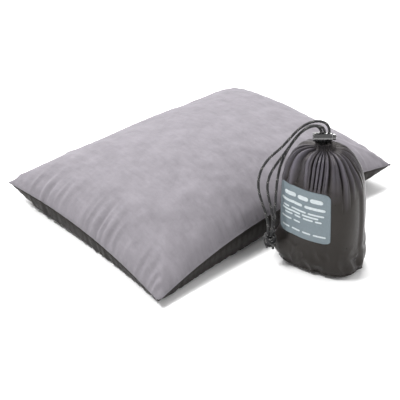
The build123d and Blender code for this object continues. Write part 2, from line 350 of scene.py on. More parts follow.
def plastic_material(name, colour, roughness):
    """Moulded plastic: fine moulded texture and faint flow marks in its colour and gloss."""
    made = Shader(name, Specular_IOR_Level=0.7, Coat_Weight=1.0, Coat_Roughness=0.14, Coat_IOR=2.0)
    flow = made.noise(made.object_place((1, 1, 3)), 300.0, 3.0, 0.5)
    grain = made.noise(made.object_place(), 4200.0, 2.0, 0.6)
    base = made.ramp(flow, grey_spread(colour, 0.2))
    rough = made.span(flow, roughness - 0.08, roughness + 0.12)
    return made.finish(base, made.bump(grain, 0.05 * MM, 0.6), rough)


def steel_material():
    """Drawn spring wire."""
    made = Shader("spring_steel", Metallic=1.0)
    drawn = made.noise(made.object_place((1, 1, 6)), 900.0, 3.0, 0.6)
    base = made.ramp(drawn, [(0.3, (0.48, 0.48, 0.49)), (0.7, (0.68, 0.68, 0.69))])
    return made.finish(base, None, made.span(drawn, 0.22, 0.4))


def print_material(name, colour, share):
    """A flat printed film on woven cloth, a little worn, with the weave showing through."""
    made = Shader(name, Roughness=0.5, Specular_IOR_Level=0.4)
    worn = made.noise(made.cloth_place(), 420.0, 5.0, 0.7)
    base = made.ramp(worn, grey_spread(colour, share))
    return made.finish(base, made.bump(made.weave(made.cloth_place(), 400.0), 0.1 * MM, 0.4))


MICROFIBRE = microfibre_material("top_microfibre", (0.203, 0.191, 0.209))
PACKED_CLOTH = microfibre_material("packed_microfibre", (0.45, 0.43, 0.46))
UNDER_NYLON = nylon_material("bottom_nylon", (0.012, 0.0107, 0.0103), 0.62, 0.0, 0.0005)
# The sack's last colour is its painted highlight on the tops of the gathers
SACK_NYLON = nylon_material("sack_nylon", (0.016, 0.0139, 0.0125), 0.29, 0.09, 0.0004, (0.185, 0.172, 0.208))
SEAM_NYLON = nylon_material("seam_nylon", (0.022, 0.0196, 0.018), 0.46, 0.05, 0.0004)
FIBRE = fibre_material()
CORD = cord_material()
SHORT_CORD = plain_cord_material()
LOCK_PLASTIC = plastic_material("lock_plastic", (0.012, 0.012, 0.013), 0.26)
THREAD = microfibre_material("seam_thread", (0.30, 0.28, 0.31))
STEEL = steel_material()
LABEL_FILM = print_material("label_film", (0.165, 0.206, 0.228), 0.08)
LABEL_INK = print_material("label_ink", (0.55, 0.6, 0.62), 0.14)
LABEL_TAPE = print_material("label_tape", (0.78, 0.77, 0.74), 0.06)


# ---- Mesh helpers ----
def make_piece(name, points, faces, material, places=None, shades=None):
    """A smooth-shaded object, with its points' cloth coordinates, and its shades from 0 to 1 for flecks and
    painted light if it has any.
    """
    mesh = bpy.data.meshes.new(name)
    mesh.from_pydata([tuple(point) for point in points], [], [tuple(face) for face in faces])
    mesh.update()
    if places is not None:
        stored = mesh.attributes.new("cloth_place", "FLOAT_VECTOR", "POINT")
        stored.data.foreach_set("vector", np.asarray(places, dtype=np.float32).ravel())
    if shades is not None:
        stored = mesh.attributes.new("fleck_and_painted_light", "FLOAT", "POINT")
        stored.data.foreach_set("value", np.asarray(shades, dtype=np.float32))
    mesh.shade_smooth()
    mesh.materials.append(material)
    piece = bpy.data.objects.new(name, mesh)
    bpy.context.scene.collection.objects.link(piece)
    return piece


def dress(piece, body, slot, *nodes):
    """Put a piece on its body, in place of the CAD nodes that it stands for; the slot is not used."""
    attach(piece, body)
    if nodes:
        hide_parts(*nodes)


def apply_modifiers(piece):
    """Replace a piece's mesh with its evaluated one."""
    graph = bpy.context.evaluated_depsgraph_get()
    done = bpy.data.meshes.new_from_object(piece.evaluated_get(graph))
    piece.modifiers.clear()
    piece.data = done


def thicken(piece, thickness, levels=0):
    """Smooth a cloth surface and give it a thickness on its inner side, as a closed mesh."""
    if levels:
        smoothing = piece.modifiers.new("smooth", "SUBSURF")
        smoothing.levels = levels
        smoothing.render_levels = levels
    solid = piece.modifiers.new("thickness", "SOLIDIFY")
    solid.thickness = thickness
    solid.offset = -1.0
    apply_modifiers(piece)


def grid_faces(rows, columns, wrapped=True):
    """Quads over a grid of points stored row by row; wrapped joins the last column to the first."""
    faces = []
    for row in range(rows - 1):
        for column in range(columns if wrapped else columns - 1):
            after = (column + 1) % columns
            low, high = row * columns, (row + 1) * columns
            faces.append((low + column, low + after, high + after, high + column))
    return faces


def closed_faces(rows, columns):
    """Faces of a closed tube of rings whose last two points are the middles of its ends."""
    faces = grid_faces(rows, columns)
    start, end, last = rows * columns, rows * columns + 1, (rows - 1) * columns
    for column in range(columns):
        after = (column + 1) % columns
        faces.append((start, after, column))
        faces.append((end, last + column, last + after))
    return faces


def layer_faces(rows, columns):
    """Faces of a closed patch: an outer grid of points, an inner one, and the rim between them."""
    outer = grid_faces(rows, columns, False)
    shift = rows * columns
    faces = outer + [tuple(index + shift for index in face[::-1]) for face in outer]
    rim = list(range(columns)) + [row * columns + columns - 1 for row in range(1, rows)]
    rim += [(rows - 1) * columns + column for column in range(columns - 2, -1, -1)]
    rim += [row * columns for row in range(rows - 2, 0, -1)]
    for start, after in zip(rim, rim[1:] + rim[:1]):
        faces.append((after, start, start + shift, after + shift))
    return faces


# ---- Cords ----
CORD_DIAMETER = 2.8 * MM
CORD_STEP = 0.45 * MM
CORD_SIDES = 24
BRAID_PITCH = 3.4 * MM
BRAID_DEPTH = 0.16 * MM
BRAID_STRANDS = 4
FLECK_EVERY = 4
KNOT_WIDTH = 13.4 * MM
CORD_LEGS = {  # along the lock, across it, and height, in millimetres: the same points as the CAD route
    "cord_leg_1": [
        (4.9, 0.0, 151.8), (4.6, 0.2, 156.4), (2.2, 0.8, 160.8), (-2.8, 1.2, 163.6), (-9.6, 1.2, 164.0),
        (-17.2, 0.6, 161.8), (-24.6, -0.4, 157.0), (-30.9, -1.2, 150.2), (-36.8, -1.6, 142.4),
        (-43.6, -1.9, 134.2), (-51.8, -2.3, 126.6), (-59.2, -3.4, 116.8), (-63.6, -4.8, 104.6),
        (-63.9, -6.2, 91.2), (-60.4, -7.8, 77.8), (-55.9, -9.4, 65.2), (-52.9, -10.2, 54.0),
        (-52.1, -10.4, 44.4), (-51.9, -10.4, 36.2),
    ],
    "cord_leg_2": [
        (0.3, 0.0, 151.8), (-0.6, -0.8, 156.4), (-4.2, -1.8, 159.8), (-10.0, -2.2, 160.8),
        (-16.6, -1.9, 158.6), (-22.4, -1.0, 153.6), (-27.4, -0.2, 147.4), (-31.8, 0.0, 139.8),
        (-36.4, -0.4, 132.0), (-42.0, -1.4, 123.4), (-48.2, -2.8, 114.4), (-53.0, -4.0, 104.6),
        (-54.9, -5.4, 93.0), (-52.9, -6.8, 80.6), (-49.6, -8.6, 68.6), (-48.1, -10.2, 57.0),
        (-48.2, -11.4, 46.6), (-48.9, -11.9, 36.4),
    ],
    "cord_leg_3": [
        (-2.8, 0.0, 152.2), (-4.3, 1.4, 156.0), (-8.4, 3.0, 158.2), (-13.8, 4.0, 157.4), (-19.0, 4.3, 154.0),
        (-23.8, 4.3, 148.6), (-28.4, 4.2, 142.0), (-33.2, 3.6, 134.6), (-37.4, 2.2, 126.0),
        (-41.2, -0.2, 117.0), (-43.8, -3.2, 106.8), (-45.2, -6.0, 95.2), (-45.8, -8.0, 82.8),
        (-46.0, -9.2, 69.8), (-45.9, -9.0, 57.6), (-46.4, -8.4, 47.0), (-47.6, -8.4, 37.0),
    ],
}
KNOT_ENDS = [(-2.2, -0.8), (0.4, 1.6), (2.2, -1.2)]


def lock_place(along, across, height):
    """A point given along and across the lock and in height, in millimetres, in the model's frame."""
    place = NECK + LOCK_ALONG * along * MM + LOCK_ACROSS * across * MM
    return Vector((place.x, place.y, height * MM))


def spline_points(route):
    """Evenly spaced points along the smooth curve that has the route as its control points."""
    data = bpy.data.curves.new("route", "CURVE")
    data.dimensions = "3D"
    data.resolution_u = 16
    spline = data.splines.new("NURBS")
    spline.points.add(len(route) - 1)
    for point, place in zip(spline.points, route):
        point.co = (*place, 1.0)
    spline.order_u = 3
    spline.use_endpoint_u = True
    holder = bpy.data.objects.new("route", data)
    bpy.context.scene.collection.objects.link(holder)
    graph = bpy.context.evaluated_depsgraph_get()
    mesh = bpy.data.meshes.new_from_object(holder.evaluated_get(graph))
    raw = np.array([vertex.co for vertex in mesh.vertices])
    bpy.data.objects.remove(holder)
    bpy.data.meshes.remove(mesh)
    return even_points(raw, CORD_STEP)


def distances(points):
    """How far along a polyline each of its points is."""
    return np.concatenate([[0.0], np.cumsum(np.linalg.norm(np.diff(points, axis=0), axis=1))])


def even_points(raw, step):
    """Points at an even distance along a polyline."""
    lengths = distances(raw)
    wanted = np.linspace(0.0, lengths[-1], max(4, round(lengths[-1] / step) + 1))
    return np.stack([np.interp(wanted, lengths, raw[:, axis]) for axis in range(3)], axis=1)


def side_directions(points):
    """Two steady side directions at each point of a path."""
    ahead = np.gradient(points, axis=0)
    ahead /= np.linalg.norm(ahead, axis=1)[:, None]
    side = np.cross(ahead[0], (0.3, 0.9, 0.31))
    sides = []
    for direction in ahead:
        side = side - direction * side.dot(direction)
        side = side / np.linalg.norm(side)
        sides.append(side)
    return np.array(sides), np.cross(ahead, sides)


def braided_tube(name, points, radius, material):
    """A closed tube along a path whose surface rises and falls as a round braid's strands do."""
    side, other = side_directions(points)
    travelled = distances(points)
    turn, run = np.meshgrid(np.linspace(0, 2 * math.pi, CORD_SIDES, endpoint=False), travelled)
    lean = 2 * math.pi * run / BRAID_PITCH
    one = np.cos(BRAID_STRANDS * turn + lean)
    two = np.cos(BRAID_STRANDS * turn - lean)
    over = np.maximum(one, two)
    size = radius - BRAID_DEPTH / 2 + BRAID_DEPTH * (over - 0.35)
    rounding = np.clip(np.minimum(travelled, travelled[-1] - travelled) / (radius * 0.6), 0.0, 1.0)
    size = size * (0.55 + 0.45 * np.sqrt(rounding * (2 - rounding)))[:, None]
    ring = np.cos(turn)[..., None] * side[:, None, :] + np.sin(turn)[..., None] * other[:, None, :]
    places = points[:, None, :] + size[..., None] * ring
    flat = np.vstack([places.reshape(-1, 3), points[0], points[-1]])
    strand = np.floor((BRAID_STRANDS * turn + lean) / (2 * math.pi)).astype(int)
    marked = (np.mod(strand, FLECK_EVERY) == 0) & (one > two) & (one > 0.3)
    # Real pale flecks on every fourth strand; elsewhere painted shade, darker where the surface dips
    fleck_and_shade = np.where(marked, 1.0, 0.35 * (over + 1) / 2).ravel()
    faces = closed_faces(len(points), CORD_SIDES)
    return make_piece(name, flat, faces, material, shades=np.append(fleck_and_shade, [0.0, 0.0]))


def knot_strands(centre, width, height):
    """The centre lines of a tight overhand knot: three turns round the cords and one strand over them."""
    reach = width / 2 - CORD_DIAMETER / 2
    wraps = np.linspace(0, 3.0 * 2 * math.pi, 200)
    share = wraps / wraps[-1]
    swell = 1 - 0.22 * np.abs(2 * share - 1) ** 2
    rise = (0.5 - share) * (height - 1.15 * CORD_DIAMETER)
    turns = np.stack([
        reach * swell * np.cos(wraps + 0.4), reach * swell * np.sin(wraps + 0.4),
        rise + 1.3 * MM * np.sin(wraps + 1.2),
    ], axis=1)
    cross = np.linspace(-1, 1, 60)
    over = np.stack([
        reach * 1.05 * np.sin(cross * 1.0), -reach * 1.28 * np.cos(cross * 1.0), -cross * height * 0.36,
    ], axis=1)
    under = np.stack([
        -reach * 1.1 * np.cos(cross * 0.9), reach * 0.9 * np.sin(cross * 1.2), cross * height * 0.38,
    ], axis=1)
    basis = np.array([list(LOCK_ALONG), list(LOCK_ACROSS), [0, 0, 1]])
    return [np.array(centre) + strand @ basis for strand in (turns, over, under)]


def make_knot():
    """The knot's three strands and its three cut ends."""
    low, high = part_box("cord_knot")
    centre = (low + high) / 2
    paths = {f"knot_strand_{index + 1}": strand
             for index, strand in enumerate(knot_strands(centre, KNOT_WIDTH, high.z - low.z))}
    for index, (along, across) in enumerate(KNOT_ENDS):
        top = centre + LOCK_ALONG * along * MM + LOCK_ACROSS * across * MM
        top.z = low.z + 2.5 * MM
        tip = top + LOCK_ALONG * along * 0.6 * MM + Vector((0, 0, -5.6 * MM - 0.7 * index * MM))
        bend = (top + tip) / 2 + LOCK_ACROSS * 0.7 * MM
        paths[f"knot_end_{index + 1}"] = np.array([top, bend, tip])
    parts = [braided_tube(name, even_points(path, CORD_STEP), CORD_DIAMETER / 2, CORD)
             for name, path in paths.items()]
    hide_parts("cord_knot")
    for part in parts:
        dress(part, "closure", "cord_braid")
    return parts


def make_cords():
    """The three hanging cords, and the knot that ties them."""
    knot_parts = make_knot()
    for name, route in CORD_LEGS.items():
        places = [lock_place(*place) for place in route]
        points = spline_points(places)
        leg = braided_tube(name.replace("cord_leg", "hanging_cord"), points, CORD_DIAMETER / 2, CORD)
        dress(leg, "closure", "cord_braid", name)


make_cords()


# ---- Pillow cloth ----
CUT_LENGTH = 380 * MM
CUT_WIDTH = 290 * MM
CLOTH_CELL = 4.2 * MM
CLOTH_SCALE = 10.0
CLOTH_FRAMES = 45
SIDE_PULL = 12 * MM
END_PULL = 8 * MM
CORNER_HEIGHTS = {(-1, 1): 26 * MM, (-1, -1): 9 * MM, (1, 1): 31 * MM, (1, -1): 27 * MM}
SIDE_RISE = {"near": 22 * MM, "far": 2 * MM, "left": 7 * MM, "right": 12 * MM}
CROWN = 46 * MM
FULLNESS = 0.42
BELLY = 95 * MM
SEAM_WAVE = 1.5 * MM
PUCKER_DEPTH = 3.3 * MM
PUCKER_PEAK = 8.5 * MM
DENT_DEPTH = 4.2 * MM
FLOOR_GAP = 1.0 * MM
FILLING_DEPTH = 2.2 * MM
STITCH_INSET = 3.5 * MM
STITCH_LENGTH = 3.2 * MM
STITCH_POINTS = 6
STITCH_RISE = 0.5 * MM
THREAD_RADIUS = 0.3 * MM
TAG_WIDTH = 32 * MM
TAG_REACH = 16 * MM
TAG_CENTRE = 105 * MM
TAG_THICK = 0.7 * MM
TAG_HIDDEN = 6 * MM
TAG_DROOP = 7 * MM
TAG_CURL = 1.2 * MM
TAG_SKEW = 0.6 * MM
CLOTH_SETTINGS = {
    "quality": 7, "mass": 0.08, "air_damping": 3, "use_pressure": True, "uniform_pressure_force": 4.0,
    "tension_stiffness": 40, "compression_stiffness": 40, "shear_stiffness": 12, "bending_stiffness": 0.25,
    "tension_damping": 8, "compression_damping": 8, "shear_damping": 8, "bending_damping": 0.6,
}


def seam_height(s, t):
    """Height of the seam over the floor, from its four corners and the rise of its sides."""
    height = 0.0
    for (corner_s, corner_t), corner_height in CORNER_HEIGHTS.items():
        height = height + corner_height * (1 + corner_s * s) * (1 + corner_t * t) / 4
    along = (1 - s * s) * (SIDE_RISE["near"] * (1 - t) / 2 + SIDE_RISE["far"] * (1 + t) / 2)
    across = (1 - t * t) * (SIDE_RISE["left"] * (1 - s) / 2 + SIDE_RISE["right"] * (1 + s) / 2)
    return height + np.maximum(along, across) * 0.5 + (along + across) * 0.25


def seam_waves(s, t):
    """Uneven waves along the seam, from about -1 to 1, stronger on the short sides."""
    short_side = (1 - np.abs(s)) * CUT_LENGTH < (1 - np.abs(t)) * CUT_WIDTH
    run = np.where(short_side, t * CUT_WIDTH / 2, s * CUT_LENGTH / 2) / MM
    start = np.where(short_side, 3.0 * np.sign(s), 7.0 * np.sign(t))
    wave = 0.5 * np.sin(run / 1.9 + start) + 0.35 * np.sin(run / 3.1 + 2 * start)
    wave = wave + 0.3 * np.sin(run / 1.3 - start)
    slow = 0.6 + 0.4 * np.sin(run / 17.0 + start)
    return wave * slow * np.where(short_side, np.where(s < 0, 1.0, 0.5), 0.55)


def add_wrinkles(shape, flat, faces):
    """Push the filled cloth in and out: puckers that start at the seam, and soft dents of the filling."""
    mesh = bpy.data.meshes.new("normals")
    mesh.from_pydata([tuple(point) for point in shape], [], faces)
    mesh.update()
    normals = np.array([vertex.normal for vertex in mesh.vertices])
    bpy.data.meshes.remove(mesh)
    s, t = flat[:, 0], flat[:, 1]
    inset = np.minimum((1 - np.abs(s)) * CUT_LENGTH, (1 - np.abs(t)) * CUT_WIDTH) / 2
    share = inset / PUCKER_PEAK
    pucker = PUCKER_DEPTH * seam_waves(s, t) * share * np.exp(1 - share)
    side = np.sign(normals[:, 2])
    dents = np.array([
        0.62 * noise.noise(Vector((x * 3.1, y * 2.4, level * 3.0 + 0.5)))
        + 0.38 * abs(noise.noise(Vector((x * 7.3 + 4.0, y * 6.1, level * 5.0))))
        for x, y, level in zip(s, t, side)
    ])
    calm = smooth(0.0, 18 * MM, inset)
    return shape + normals * (pucker + DENT_DEPTH * dents * calm)[:, None]


def filled_shape(s, t, side):
    """Where a point of a flat panel lies when the pillow is filled; side is 1 on top and -1 below."""
    half_length = half_size("pillow_top_panel", 0)
    half_width = half_size("pillow_top_panel", 1)
    x = s * (half_length - END_PULL * (1 - t * t))
    y = t * (half_width - SIDE_PULL * (1 - s * s))
    inside = np.clip((1 - s * s) * (1 - t * t), 0, None)
    seam = seam_height(s, t)
    height = np.where(side > 0, seam + CROWN * inside ** FULLNESS, seam - BELLY * np.sqrt(inside))
    border = np.maximum(np.abs(s), np.abs(t)) > 0.999
    wave = np.where(border, seam_waves(s, t), 0.0) * SEAM_WAVE
    short_side = np.abs(s) > np.abs(t)
    x = x + np.where(border & short_side, 0.6 * wave * np.sign(s), 0.0)
    y = y + np.where(border & ~short_side, 0.6 * wave * np.sign(t), 0.0)
    return np.stack([x, y, np.maximum(height + wave, FLOOR_GAP)], axis=-1)


def pillow_grid(cell):
    """Flat coordinates and triangles of two panels that share their border, and the border in order."""
    columns = round(CUT_LENGTH / cell)
    rows = round(CUT_WIDTH / cell)
    top, under, flat, sides = {}, {}, [], []
    for i in range(columns + 1):
        for j in range(rows + 1):
            place = (2 * i / columns - 1, 2 * j / rows - 1)
            top[i, j] = len(flat)
            flat.append(place)
            sides.append(1)
            if i in (0, columns) or j in (0, rows):
                under[i, j] = top[i, j]
                continue
            under[i, j] = len(flat)
            flat.append(place)
            sides.append(-1)
    faces, panels = [], []
    for i in range(columns):
        for j in range(rows):
            for layer, sign in ((top, 1), (under, -1)):
                a, b, c, d = layer[i, j], layer[i + 1, j], layer[i + 1, j + 1], layer[i, j + 1]
                pair = [(a, b, c), (a, c, d)] if (i + j) % 2 else [(a, b, d), (b, c, d)]
                for face in pair:
                    faces.append(face if sign > 0 else face[::-1])
                    panels.append(sign)
    border = [top[i, 0] for i in range(columns)] + [top[columns, j] for j in range(rows)]
    border += [top[i, rows] for i in range(columns, 0, -1)] + [top[0, j] for j in range(rows, 0, -1)]
    return np.array(flat), np.array(sides), faces, np.array(panels), border


def cut_places(flat):
    """Where points with these flat coordinates lie on the cut cloth."""
    return np.stack([flat[:, 0] * CUT_LENGTH / 2, flat[:, 1] * CUT_WIDTH / 2, np.zeros(len(flat))], axis=1)


def simulate_pillow(flat, sides, faces, border):
    """Fill the two sewn panels over the floor, with their seam held, and return their points."""
    shape = filled_shape(flat[:, 0], flat[:, 1], sides)
    scene = bpy.context.scene
    cloth = make_piece("cloth", shape * CLOTH_SCALE, faces, MICROFIBRE)
    cloth.shape_key_add(name="filled")
    key = cloth.shape_key_add(name="flat")
    key.data.foreach_set("co", (cut_places(flat) * CLOTH_SCALE).ravel())
    held = cloth.vertex_groups.new(name="held")
    held.add(border, 1.0, "REPLACE")
    ground = level_square("ground")
    ground.modifiers.new("collision", "COLLISION")
    ground.collision.thickness_outer = FLOOR_GAP * CLOTH_SCALE
    ground.collision.cloth_friction = 20
    modifier = cloth.modifiers.new("cloth", "CLOTH")
    for setting, value in CLOTH_SETTINGS.items():
        setattr(modifier.settings, setting, value)
    modifier.settings.effector_weights.gravity = 0.25
    modifier.settings.rest_shape_key = key
    modifier.settings.vertex_group_mass = "held"
    modifier.collision_settings.distance_min = FLOOR_GAP * CLOTH_SCALE
    modifier.point_cache.frame_start = 1
    modifier.point_cache.frame_end = CLOTH_FRAMES
    scene.frame_end = CLOTH_FRAMES
    for number in range(1, CLOTH_FRAMES + 1):
        scene.frame_set(number)
    graph = bpy.context.evaluated_depsgraph_get()
    settled = bpy.data.meshes.new_from_object(cloth.evaluated_get(graph))
    result = np.array([vertex.co for vertex in settled.vertices]) / CLOTH_SCALE
    for spare in (cloth, ground):
        bpy.data.objects.remove(spare)
    scene.frame_set(1)
    return result


def panel_piece(name, shape, flat, faces, panels, side, material):
    """One panel of the simulated pillow as its own piece."""
    kept = [face for face, panel in zip(faces, panels) if panel == side]
    used = sorted({index for face in kept for index in face})
    renumber = {old: new for new, old in enumerate(used)}
    kept = [[renumber[index] for index in face] for face in kept]
    return make_piece(name, shape[used], kept, material, cut_places(flat[used]))


def shrunk(name, points, faces, depth, material):
    """A closed copy of a surface, moved inwards by a depth."""
    piece = make_piece(name, points, faces, material)
    normals = np.array([vertex.normal for vertex in piece.data.vertices])
    piece.data.vertices.foreach_set("co", (points - normals * depth).ravel())
    piece.data.update()
    return piece


def closed_ring(name, points, radii, sides, material):
    """A smooth closed ring of tube along points; radii is one number or one for each point."""
    count = len(points)
    ahead = np.roll(points, -1, axis=0) - np.roll(points, 1, axis=0)
    ahead /= np.linalg.norm(ahead, axis=1)[:, None]
    side = np.cross(ahead, (0.0, 0.0, 1.0))
    side /= np.linalg.norm(side, axis=1)[:, None]
    other = np.cross(ahead, side)
    angles = np.linspace(0, 2 * math.pi, sides, endpoint=False)[None, :, None]
    ring = np.cos(angles) * side[:, None, :] + np.sin(angles) * other[:, None, :]
    places = points[:, None, :] + np.broadcast_to(radii, (count,))[:, None, None] * ring
    flat = places.reshape(-1, 3)
    faces = [tuple(index % len(flat) for index in face) for face in grid_faces(count + 1, sides)]
    return make_piece(name, flat, faces, material, flat.copy())


def make_stitching(shape, border):
    """The seam's thread: one dip and rise for each stitch, just inside the seam's edge."""
    edge = shape[border]
    points = even_points(np.vstack([edge, edge[:1]]), STITCH_LENGTH / STITCH_POINTS)[:-1]
    ahead = np.roll(points, -1, axis=0) - np.roll(points, 1, axis=0)
    inward = np.cross((0.0, 0.0, 1.0), ahead)
    inward /= np.linalg.norm(inward, axis=1)[:, None]
    for _ in range(12):
        inward = (np.roll(inward, 1, axis=0) + inward * 2 + np.roll(inward, -1, axis=0)) / 4
    count = len(points)
    stitch = np.sin(2 * math.pi * np.arange(count) * round(count / STITCH_POINTS) / count)
    points = points + inward * STITCH_INSET
    points[:, 2] += stitch * STITCH_RISE
    thread = closed_ring("stitching", points, THREAD_RADIUS, 8, THREAD)
    dress(thread, "pillow", "thread", "seam_thread")


def make_tag(shape, border):
    """The blank care label: a folded tape that comes out of the far seam and droops a little."""
    edge = shape[border]
    far = edge[(edge[:, 1] > 0) & (np.abs(edge[:, 0] - TAG_CENTRE) < TAG_WIDTH)]
    far = far[np.argsort(far[:, 0])]
    columns, rows = 17, 13
    across = np.linspace(TAG_CENTRE - TAG_WIDTH / 2, TAG_CENTRE + TAG_WIDTH / 2, columns)
    start = np.interp(across, far[:, 0], far[:, 1]).min() - TAG_HIDDEN
    level = np.interp(across, far[:, 0], far[:, 2]).mean()
    curl = TAG_CURL * np.sin(np.linspace(0, math.pi, columns))
    points = []
    for offset in (0.0, -TAG_THICK):
        for share in np.linspace(0, 1, rows):
            out = np.full(columns, start + share * TAG_REACH)
            height = level - TAG_DROOP * share ** 2 + curl * share + offset
            points.append(np.stack([across + TAG_SKEW * share, out, height], axis=1))
    points = np.concatenate(points)
    tag = make_piece("blank_care_label", points, layer_faces(rows, columns), LABEL_TAPE, points.copy())
    dress(tag, "pillow", "label_tape", "care_label")


def make_pillow():
    """The two cloth panels, the filling between them, the seam's thread and the care label."""
    flat, sides, faces, panels, border = pillow_grid(CLOTH_CELL)
    shape = add_wrinkles(simulate_pillow(flat, sides, faces, border), flat, faces)
    shape[:, 2] = np.maximum(shape[:, 2], FLOOR_GAP / 2)
    for name, node, slot, thickness, side, material in (
        ("pillow_top_cloth", "pillow_top_panel", "top_microfibre", 0.9 * MM, 1, MICROFIBRE),
        ("pillow_under_cloth", "pillow_bottom_panel", "bottom_nylon", 0.5 * MM, -1, UNDER_NYLON),
    ):
        panel = panel_piece(name, shape, flat, faces, panels, side, material)
        thicken(panel, thickness, 1)
        dress(panel, "pillow", slot, node)
    filling = shrunk("filling", shape, faces, FILLING_DEPTH, FIBRE)
    dress(filling, "pillow", "fibre", "fibre_fill")
    make_stitching(shape, border)
    make_tag(shape, border)


make_pillow()


# ---- Stuff sack ----
SACK_COLUMNS = 420
BODY_ROWS = 80
DOME_ROWS = 70
DOME_BASE = 101 * MM
PLEATS = 25
SHOULDER_LIFT = 3.6 * MM
BULGES = [  # turn, lowest and highest height, and how far the filling pushes the cloth out
    (math.radians(-42), 14 * MM, 34 * MM, 2.4 * MM), (math.radians(129), 14 * MM, 24 * MM, 5.5 * MM),
]
SACK_FLAT = (265 * MM, 165 * MM)
CLOTH_THICK = 0.5 * MM
RUFFLE_TOP = NECK_HIGH - 0.7 * MM
RUFFLE_RADIUS = 8.6 * MM
HEM_ROWS = 11
MOUTH_ROWS = 8
MOUTH_DEPTH = 5 * MM
FRONT_LEFT = math.radians(190)
BASE_ROWS = 13
BASE_LOW = 0.25 * MM
WELT_RADIUS = 0.75 * MM
WELT_GATHERS = 64


def ring_noise(angles, size, aside, up):
    """Smooth noise read round a ring of a size, moved aside and up."""
    places = [(math.cos(angle) * size + aside, math.sin(angle) * size, up) for angle in angles]
    return np.array([noise.noise(Vector(place)) for place in places])


